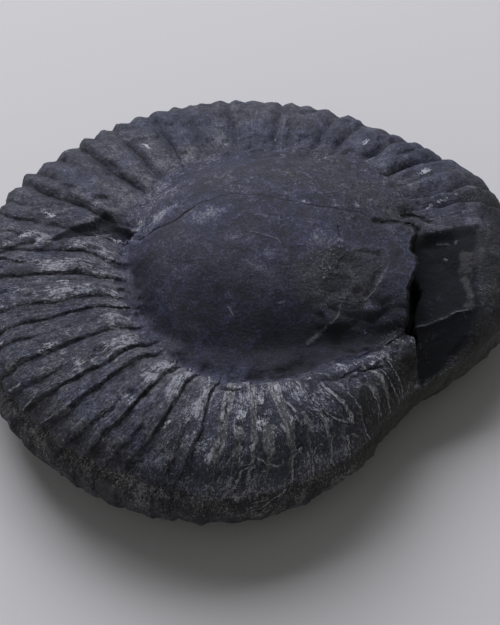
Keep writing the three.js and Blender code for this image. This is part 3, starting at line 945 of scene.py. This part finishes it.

# %% Matt patches in the hollow, and painted shade in the cleft under the snapped edge
MATT_PATCHES = [[(52.2, 6.4), (54.6, 6.6), (55.2, 3.4), (53.6, 2), (51.8, 2.2), (52, 4)],
                [(51.8, -0.6), (54, -0.2), (55, -4), (54.6, -9), (52.6, -9.2), (52.4, -4)],
                [(56, 6), (57, 7.6), (57.6, 5.4), (56.6, 3.6)]]
matt = np.minimum.reduce([outline_distance(x, y, patch) for patch in MATT_PATCHES])
matt = step(0.45, -0.45, matt + 1.6 * layered(base, 2.6, 122, 3)) * (travel > 0) * (travel < 1)
matt = np.maximum(matt, 0.85 * pebble)
seam_radius = ring_value(SEAM_RADII, degrees) + broken_edge(degrees)
dark_width = np.interp(turn_to(degrees, 0), *CREVICE) + 0.1
# Near-black painted shade down in the cleft, as wide as the cleft.
dark = step(dark_width + 0.2, dark_width - 0.3, radius - seam_radius)
dark = dark * between(degrees, -28.5, 12, 1.0) * (travel > -0.001)
print("points in the cleft:", int((dark > 0.5).sum()))

# %% Put the numbers on the mesh
POINT_NUMBERS = {
    "groove_mm": groove_mm, "across": across, "phase": direction(0.5) % 360 + 0 * degrees,
    "travel": travel, "calm": calm * on_flank, "front": front, "flecked": flecked,
    "crack_side": crack_side, "crack_on": crack_on, "vein_side": vein_side, "vein_on": vein_on,
    "line_side": line_side, "line_on": line_on, "fill_side": fill_side, "clot": clot,
    "scar": np.maximum.reduce([0.8 * scar, 0.8 * rough_ground, 0.6 * worn_back]),
    # The facets and a band beside the scar are painted darker: painted shade, over real broken
    # facets.
    "facet": np.maximum(facet, 1.8 * scar_shade) * on_dome,
    # The rub number also holds painted shade in the shaded places and a painted highlight along the
    # snapped edge.
    "warm": np.clip(seam_chalk + 0.4 * left_ribs, 0, 1), "rub": rub, "dirt": dirt,
    # dark is near-black painted shade in the cleft.
    "rough": rough, "fresh": fresh, "wall": outer_wall, "matt": matt, "dark": dark,
}
for name, values in POINT_NUMBERS.items():
    layer = mesh.attributes.new(name, "FLOAT", "POINT")
    layer.data.foreach_set("value", values[kept].astype(np.float32))
print("numbers on each point:", len(POINT_NUMBERS))

# %% [markdown]
# ## Writing a material as sums
#
# A material is a net of nodes, and long sums are hard to read as nodes. Here a small
# class wraps an output, and + - * between two of them add Math nodes. Everything
# else, such as a noise or a colour mix, comes from one method.


# %% One number or colour, with the sums that can be done on it
class Signal:
    """One number or colour on its way through a material."""

    def __init__(self, finish, socket):
        self.finish, self.socket = finish, socket

    def math(self, operation, a, b=0.0):
        return self.finish.node("ShaderNodeMath", {"operation": operation}, {0: a, 1: b})

    def __add__(self, other):
        return self.math("ADD", self, other)

    def __sub__(self, other):
        return self.math("SUBTRACT", self, other)

    def __rsub__(self, other):
        return self.math("SUBTRACT", other, self)

    def __mul__(self, other):
        return self.math("MULTIPLY", self, other)

    def __abs__(self):
        return self.math("ABSOLUTE", self)

    __radd__, __rmul__ = __add__, __mul__


# %% A material, and the nodes it is made of
class Finish:
    """A material that is built node by node."""

    def __init__(self, name):
        self.material = bpy.data.materials.new(name)
        self.material.use_nodes = True
        self.tree = self.material.node_tree
        self.tree.nodes.clear()

    def node(self, kind, settings, values, output=0):
        """Adds a node: its settings first, then a value or a link for each input."""
        node = self.tree.nodes.new(kind)
        for key, value in settings.items():
            setattr(node, key, value)
        for key, value in values.items():
            if isinstance(value, Signal):
                self.tree.links.new(value.socket, node.inputs[key])
            else:
                node.inputs[key].default_value = value
        return Signal(self, node.outputs[output]) if len(node.outputs) else node

    def number(self, name):
        """A number that the mesh carries on its points."""
        settings = {"attribute_type": "GEOMETRY", "attribute_name": name}
        return self.node("ShaderNodeAttribute", settings, {}, "Fac")

    def ramp(self, value, start, end):
        """A smooth step from 0 at start to 1 at end."""
        return self.node("ShaderNodeMapRange", {"interpolation_type": "SMOOTHSTEP"},
                         {"Value": value, "From Min": start, "From Max": end})

    def noise(self, size, detail=3.0, rough=0.55, stretch=None, warp=0.0):
        """Noise about `size` millimetres across, from 0 to 1, stretched if asked."""
        place = self.node("ShaderNodeTexCoord", {}, {}, "Object")
        if stretch:
            turned, scale = stretch
            place = self.node("ShaderNodeMapping", {"vector_type": "POINT"},
                              {"Vector": place, "Rotation": turned, "Scale": scale})
        return self.node("ShaderNodeTexNoise", {"noise_dimensions": "3D"},
                         {"Vector": place, "Scale": 1000 / size, "Detail": detail,
                          "Roughness": rough, "Distortion": warp})

    def blend(self, a, b, amount):
        """Colour a where amount is 0 and colour b where it is 1; a tone goes by its name."""
        a, b = (tone(colour) if isinstance(colour, str) else colour for colour in (a, b))
        return self.node("ShaderNodeMix", {"data_type": "RGBA"}, {0: amount, 6: a, 7: b}, 2)


print("a finish can add:", [name for name in vars(Finish) if name[0] != "_"])

# %% [markdown]
# ## Black stone
#
# The stone is a dense black shale: nearly black with a cold blue cast, dull rather than
# matt, so light from above gives it a soft grey bloom. High places are rubbed pale and
# flecked, grooves hold dust or get painted shade, cracks, the cleft and the sides of
# mineral lines get painted shade, the snapped edge gets a painted highlight, the rim
# holds brown silt, and clean breaks are darker still. One material carries all of it,
# because it is all one stone. Its colours are laid over each other like washes, each
# with its own mask.

# %% Tones of the stone, in thousandths of white: red, green, blue
TONES = {
    "stone": (8.5, 8.5, 14.8), "warm stone": (11.2, 10.4, 14.2), "front stone": (12, 12.5, 19),
    # the groove, crack and cleft tones are painted shade, and the line edge tone is painted shadow
    "clean break": (4.2, 4.3, 6), "groove": (5, 5.2, 8.5), "crack_shade": (1.5, 1.5, 2),
    "cleft shade": (0.8, 0.8, 1), "line shadow": (9, 9.2, 14),
    "dome bloom": (32, 35, 72), "warm dome bloom": (41, 36.5, 60),
    "rib bloom": (45.5, 47.5, 73.5), "warm rib bloom": (50.5, 49, 61.5),
    "front bloom": (48, 50, 74), "chalk": (160, 162, 198), "warm chalk": (182, 176, 176),
    "dark silt": (44, 40.5, 35.5), "pale silt": (290, 272, 236),
    "wall": (15, 14.2, 12.7), "dusty wall": (42, 39.2, 34.5), "low wall": (82, 78, 64),
    "matt patch": (66, 62, 63), "packed dust": (85, 83, 82), "white dust": (450, 440, 425),
    "scar": (16, 15.2, 14.5), "worn scar": (68, 63, 58), "vein": (180, 180, 195),
    "speck": (320, 322, 345), "bright fleck": (350, 348, 360), "mineral": (420, 416, 420),
    "streak": (440, 435, 450), "clot": (620, 615, 625),
}


def tone(name):
    """A tone as a colour socket wants it: parts of 1, and an alpha of 1."""
    return (*(part / 1000 for part in TONES[name]), 1)


print(len(TONES), "tones, the darkest", min(TONES.values()), "and the palest", max(TONES.values()))

# %% Noise of many sizes, and the numbers from the mesh
stone = Finish("black_stone")
at = SimpleNamespace(**{name: stone.number(name) for name in POINT_NUMBERS})
cloud = stone.noise(7, 5, 0.6)
grain = stone.noise(1.9, 6, 0.68)
speck = stone.noise(0.75, 4, 0.7)
pepper = stone.noise(0.42, 2, 0.6)
fibre = stone.noise(3.4, 9, 0.76, warp=0.8)
brushed = stone.noise(1.4, 4, 0.6, stretch=((0, 0, 0.35), (0.16, 1.4, 1)))
ribbed = stone.ramp(at.travel, 0.0, 0.1) * stone.ramp(at.travel, 1.2, 1.0)
warmth = stone.ramp(stone.noise(11, 3, 0.6) + grain * 0.4 + at.warm * 0.2, 0.62, 0.80)


def combed_noise(round_scale, out_scale, detail, rough, warp):
    """Noise in x = direction of the rib and y = way out, so that it runs along ribs."""
    place = stone.node("ShaderNodeCombineXYZ", {}, {"X": at.phase * round_scale,
                                                    "Y": at.travel * out_scale})
    return stone.node("ShaderNodeTexNoise", {"noise_dimensions": "2D"},
                      {"Vector": place, "Scale": 1.0, "Detail": detail, "Roughness": rough,
                       "Distortion": warp})


combed = combed_noise(0.9, 6.5, 5.0, 0.6, 0.3)
fine_combed = combed_noise(3.2, 28, 3.0, 0.65, 0.6)
print("nodes so far:", len(stone.tree.nodes))

# %% Mottle: about 0 on average, straying by about 1
mottle = (speck - 0.5) * 8 + (pepper - 0.5) * 5
mottle = (fibre - 0.5) * 9 + mottle * (at.scar * 0.5 + 1 - at.calm * 0.3)
place = stone.node("ShaderNodeTexCoord", {}, {}, "Object")
towards_back = stone.ramp(stone.node("ShaderNodeSeparateXYZ", {}, {0: place}, "Y"), -0.012, 0.02)
mottle = mottle * (0.85 + 0.55 * towards_back * (1 - ribbed))
mottle = mottle + ((pepper - 0.5) * 7 + (speck - 0.5) * 6) * at.facet
along_ribs = (combed - 0.5) * 4 + (fine_combed - 0.5) * 8
mottle = mottle + along_ribs * ribbed * (1 - at.calm * 0.6)
uneven = (grain - 0.5) * 3.4 + (cloud - 0.5) * 2 + (speck - 0.5) * 0.8
ragged = grain * 0.7 + cloud * 0.5 - 0.6
print("nodes so far:", len(stone.tree.nodes))

# %% Masks of lines: painted shade in cracks, veins, minerals with painted shadow beside them, filled grooves, clots and painted shade in bare grooves
# Painted shade in the hair cracks, which are too thin for the mesh.
crack_shade = stone.ramp(abs(at.crack_side) + ragged * 1.4, 1.0, 0.25)
crack_shade = crack_shade * stone.ramp(at.crack_on, 0.1, 0.6) * stone.ramp(cloud, 0.3, 0.5)
vein = stone.ramp(abs(at.vein_side) + mottle * 0.15, 1.0, 0.4)
vein = vein * stone.ramp(at.vein_on, 0.1, 0.6)
mineral = stone.ramp(abs(at.line_side) + uneven * 0.8 + (speck - 0.5) * 1.6, 1.2, 0.7)
# Painted shadow in a band beside each mineral line.
line_shadow = stone.ramp(abs(at.line_side) + uneven * 0.5, 3.4, 2.2)
line_shadow = line_shadow * (1 - mineral) * stone.ramp(at.line_on, 0.1, 0.6)
mineral = mineral * stone.ramp(at.line_on, 0.1, 0.6)
fill = stone.ramp(at.fill_side - uneven * 0.5, 0.14, -0.14)
clotted = stone.ramp(at.clot * (mottle * 0.55 + uneven * 0.3 + 1.2), 0.55, 1.0)
# Painted shade along the bottom of grooves that hold no dust.
bare_groove_shade = stone.ramp(at.groove_mm + mottle * 0.15, 0.34, 0.06) * (1 - fill)
bare_groove_shade = bare_groove_shade * (1 - at.calm * 0.6) * stone.ramp(cloud + grain * 0.3, 0.60, 0.74)
bare_groove_shade = bare_groove_shade * stone.ramp(at.travel, 1.02, 0.9)
print("nodes so far:", len(stone.tree.nodes))

# %% Cover: how much bloom, chalk or bright fleck lies on the stone, and where painted shade takes it away
# Low side of each rib: a little dirt everywhere, and painted shade, stronger round the back.
trough_dirt_and_shade = stone.ramp(at.across, 0.75, 0.1) * stone.ramp(at.groove_mm, 4.0, 3.0)
crest_line = stone.ramp(at.across + mottle * 0.05, 0.88, 1.0)
crest_line = crest_line * stone.ramp(cloud + grain * 0.5, 0.68, 0.84)
cover = mottle + (cloud - 0.5) * (3 - at.calm * 2) + at.rub + at.rough * 0.3 + at.scar * 0.3
# Painted shade: the facets and the band beside the scar lose bloom.
cover = cover - at.facet * 0.6 + fill * 0.4 + at.front * stone.ramp(at.travel, 0.6, 0.95) * 1.3
# The low side of each rib loses bloom: a little dirt, and painted shade round the back.
cover = cover + crest_line * ribbed * (2 - at.calm * 1.4) - trough_dirt_and_shade * (at.calm * 0.6 + 0.1)
# The cleft loses its bloom as painted shade.
cover = cover - at.fresh * 4 - at.dark * 2 - at.wall * 1.6
film = stone.ramp(cover, -1.5, 1.5)
chalk = stone.ramp(cover, at.front * 0.4 + 0.6, 3.4)
bright = stone.ramp(cover + ragged + ((pepper - 0.5) * 4.5 + 0.45) * at.front, 3.1, 4.2)
streaks = stone.ramp(fine_combed + (cloud - 0.5) * 0.9 + (speck - 0.5) * 0.4, 0.62, 0.74)
streaks = streaks * (at.front + at.flecked) * 0.5
dots = stone.ramp(pepper + (cloud - 0.5) * 0.7 + at.flecked * 0.08, 0.70, 0.78) * ribbed
print("nodes so far:", len(stone.tree.nodes))

# %% Tones that are themselves mixed
bloom = stone.blend("dome bloom", "warm dome bloom",
                    stone.ramp(stone.noise(13, 3, 0.6, warp=0.5), 0.42, 0.62))
bloom = stone.blend(bloom, stone.blend("rib bloom", "warm rib bloom", warmth), ribbed)
bloom = stone.blend(bloom, "front bloom", at.front * 0.8)
pale = stone.blend("chalk", "warm chalk", warmth)
silted = stone.ramp(mottle * 1.3 + (cloud - 0.5) * 7 + (pepper - 0.5) * 4, -0.4, 3.2)
silted = stone.blend("dark silt", "pale silt", silted)
walled = stone.ramp(mottle + (cloud - 0.5) * 6, -0.6, 2.0)
low_wall = stone.ramp(at.travel, 0.72, 1.05) * stone.ramp(mottle, -3.0, 1.5) * 0.8
walled = stone.blend(stone.blend("wall", "dusty wall", walled), "low wall", low_wall)
dusty = stone.ramp(mottle + (pepper - 0.5) * 2 + (cloud - 0.5) * 6, -0.9, 2.8)
dusty = stone.blend("packed dust", "white dust", dusty)
scarred = stone.blend("scar", "worn scar", stone.ramp(cover, -1.5, 2.5))
print("nodes so far:", len(stone.tree.nodes))

# %% The washes of colour, from the bottom up
WASHES = [
    ("front stone", at.front * 0.8),
    ("clean break", at.fresh * 0.9),
    (bloom, film),
    (pale, chalk * 0.85),
    (silted, at.dirt * stone.ramp(mottle + (cloud - 0.5) * 3, -3.2, 1.2) * 0.85),
    (walled, at.wall * 0.9),
    ("matt patch", at.matt * stone.ramp(mottle, -2.8, -0.2) * 0.9),
    (dusty, fill * 0.92),
    (scarred, at.scar * 0.8),
    # Painted shade at the bottom of bare grooves.
    ("groove", bare_groove_shade * 0.75),
    ("streak", streaks * stone.ramp(mottle, -1.0, 1.6) * 0.7),
    # Painted shadow beside the mineral lines.
    ("line shadow", line_shadow * stone.ramp(cloud, 0.36, 0.52) * 0.85),
    ("mineral", mineral * stone.ramp(mottle, -1.8, 1.6) * 0.95),
    ("clot", clotted * stone.ramp(mottle, -2.0, 1.8) * 0.85),
    ("bright fleck", bright),
    ("speck", dots * (1 - at.fresh) * (at.flecked * 0.3 + 0.4)),
    ("vein", vein * stone.ramp(mottle, -2.2, 2.4) * 0.9),
    # Near-black painted shade in the hair cracks.
    ("crack_shade", crack_shade),
    # Near-black painted shade in the cleft.
    ("cleft shade", at.dark),
]
colour = stone.blend("stone", "warm stone", warmth)
for wash, amount in WASHES:
    colour = stone.blend(colour, wash, amount)
print(len(WASHES), "washes")

# %% Roughness and relief, then the shader
dull = 0.62 + grain * 0.2 + at.fresh * 0.38 + at.dirt * 0.2 + at.wall * 0.15 + at.dark * 0.2
coarse = 0.9 + at.rough + at.scar * 0.9 + at.facet * 0.9 + ribbed * 1.3
coarse = coarse - at.fresh * 0.7 - at.wall * 0.3
relief = (fibre * 0.35 + speck * 0.30 + pepper * 0.10) * coarse * (1 - at.calm * 0.5)
relief = relief + cloud * 0.30 + brushed * 0.07 + combed * stone.ramp(at.groove_mm, 8, 4) * 0.2
relief = relief + clotted * 0.15 + mineral * 0.1 + fill * 0.12 + vein * 0.12
relief = relief - bare_groove_shade * 0.15 - crack_shade * 0.4
BUMP_HEIGHT = 0.001  # metres for a relief of 1
bumpy = stone.node("ShaderNodeBump", {}, {"Height": relief, "Distance": BUMP_HEIGHT,
                                          "Strength": 1.0})
shader = stone.node("ShaderNodeBsdfPrincipled", {},
                    {"Base Color": colour, "Roughness": dull, "Normal": bumpy,
                     "Specular IOR Level": 0.5})
stone.node("ShaderNodeOutputMaterial", {}, {"Surface": shader})
mesh.materials.append(stone.material)
print("nodes in the stone:", len(stone.tree.nodes))

# %% Tell the frame what the new piece is
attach(fossil, "root")
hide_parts("ammonite_stone")
print("new piece:", fossil.name)

# %% [markdown]
# ## Floor, light and camera
#
# A black stone on a pale floor needs a large soft light above and slightly behind it:
# the top then catches a bloom, while the side that faces the camera stays dark and is
# filled only by the floor. A small hard lamp would leave sharp shadows in every groove.

# %% A plain pale floor
FLOOR_HALF = 3.0  # metres
floor_mesh = bpy.data.meshes.new("floor")
corners = [(-FLOOR_HALF, -FLOOR_HALF, 0), (FLOOR_HALF, -FLOOR_HALF, 0),
           (FLOOR_HALF, FLOOR_HALF, 0), (-FLOOR_HALF, FLOOR_HALF, 0)]
floor_mesh.from_pydata(corners, [], [(0, 1, 2, 3)])
floor = bpy.data.objects.new("floor", floor_mesh)
bpy.context.scene.collection.objects.link(floor)
pale_floor = Finish("pale_floor")
floor_shader = pale_floor.node("ShaderNodeBsdfPrincipled", {},
                               {"Base Color": (0.58, 0.55, 0.51, 1), "Roughness": 0.9,
                                "Specular IOR Level": 0.1})
pale_floor.node("ShaderNodeOutputMaterial", {}, {"Surface": floor_shader})
floor_mesh.materials.append(pale_floor.material)
print("floor, metres across:", 2 * FLOOR_HALF)


# %% Soft light from above and behind, and a weak fill
def area_light(name, size, power, place, aim, colour):
    """A square light at a place, turned so that it shines at another."""
    light = bpy.data.lights.new(name, "AREA")
    light.shape, light.size, light.energy = "SQUARE", size, power
    light.color = colour
    lamp = bpy.data.objects.new(name, light)
    lamp.location = place
    lamp.rotation_euler = (Vector(place) - Vector(aim)).to_track_quat("Z", "Y").to_euler()
    bpy.context.scene.collection.objects.link(lamp)
    print(name, "light:", power, "W,", size, "m across")


STONE_MIDDLE = (0, 0, 0.02)
area_light("overhead", 1.0, 22.0, (-0.24, 0.78, 0.98), STONE_MIDDLE, (0.82, 0.86, 1.0))
area_light("fill", 1.2, 1.2, (-0.5, -0.9, 0.8), STONE_MIDDLE, (0.9, 0.94, 1.0))
world = bpy.data.worlds.new("studio")
world.use_nodes = True
sky = world.node_tree.nodes["Background"].inputs
sky["Color"].default_value, sky["Strength"].default_value = (0.90, 0.94, 1, 1), 0.16
bpy.context.scene.world = world
bpy.context.scene.view_settings.view_transform = "Standard"

# %% The camera looks down at 50 degrees from the front
ELEVATION, DISTANCE, LENS = 50.0, 0.450, 101.6  # degrees, metres, mm
AIM = (-1.85, -4.0, 22.0)  # mm from the middle of the coil
aim = np.array(AIM) / 1000 + middle / 1000
tilt = np.radians(ELEVATION)
camera_data = bpy.data.cameras.new("camera")
camera_data.lens, camera_data.sensor_width = LENS, 36.0
camera_data.clip_start = 0.01
camera = bpy.data.objects.new("camera", camera_data)
camera.location = aim + DISTANCE * np.array([0, -np.cos(tilt), np.sin(tilt)])
camera.rotation_euler = (np.pi / 2 - tilt, 0, 0)
bpy.context.scene.collection.objects.link(camera)
bpy.context.scene.camera = camera
print("camera, metres:", [round(v, 3) for v in camera.location])
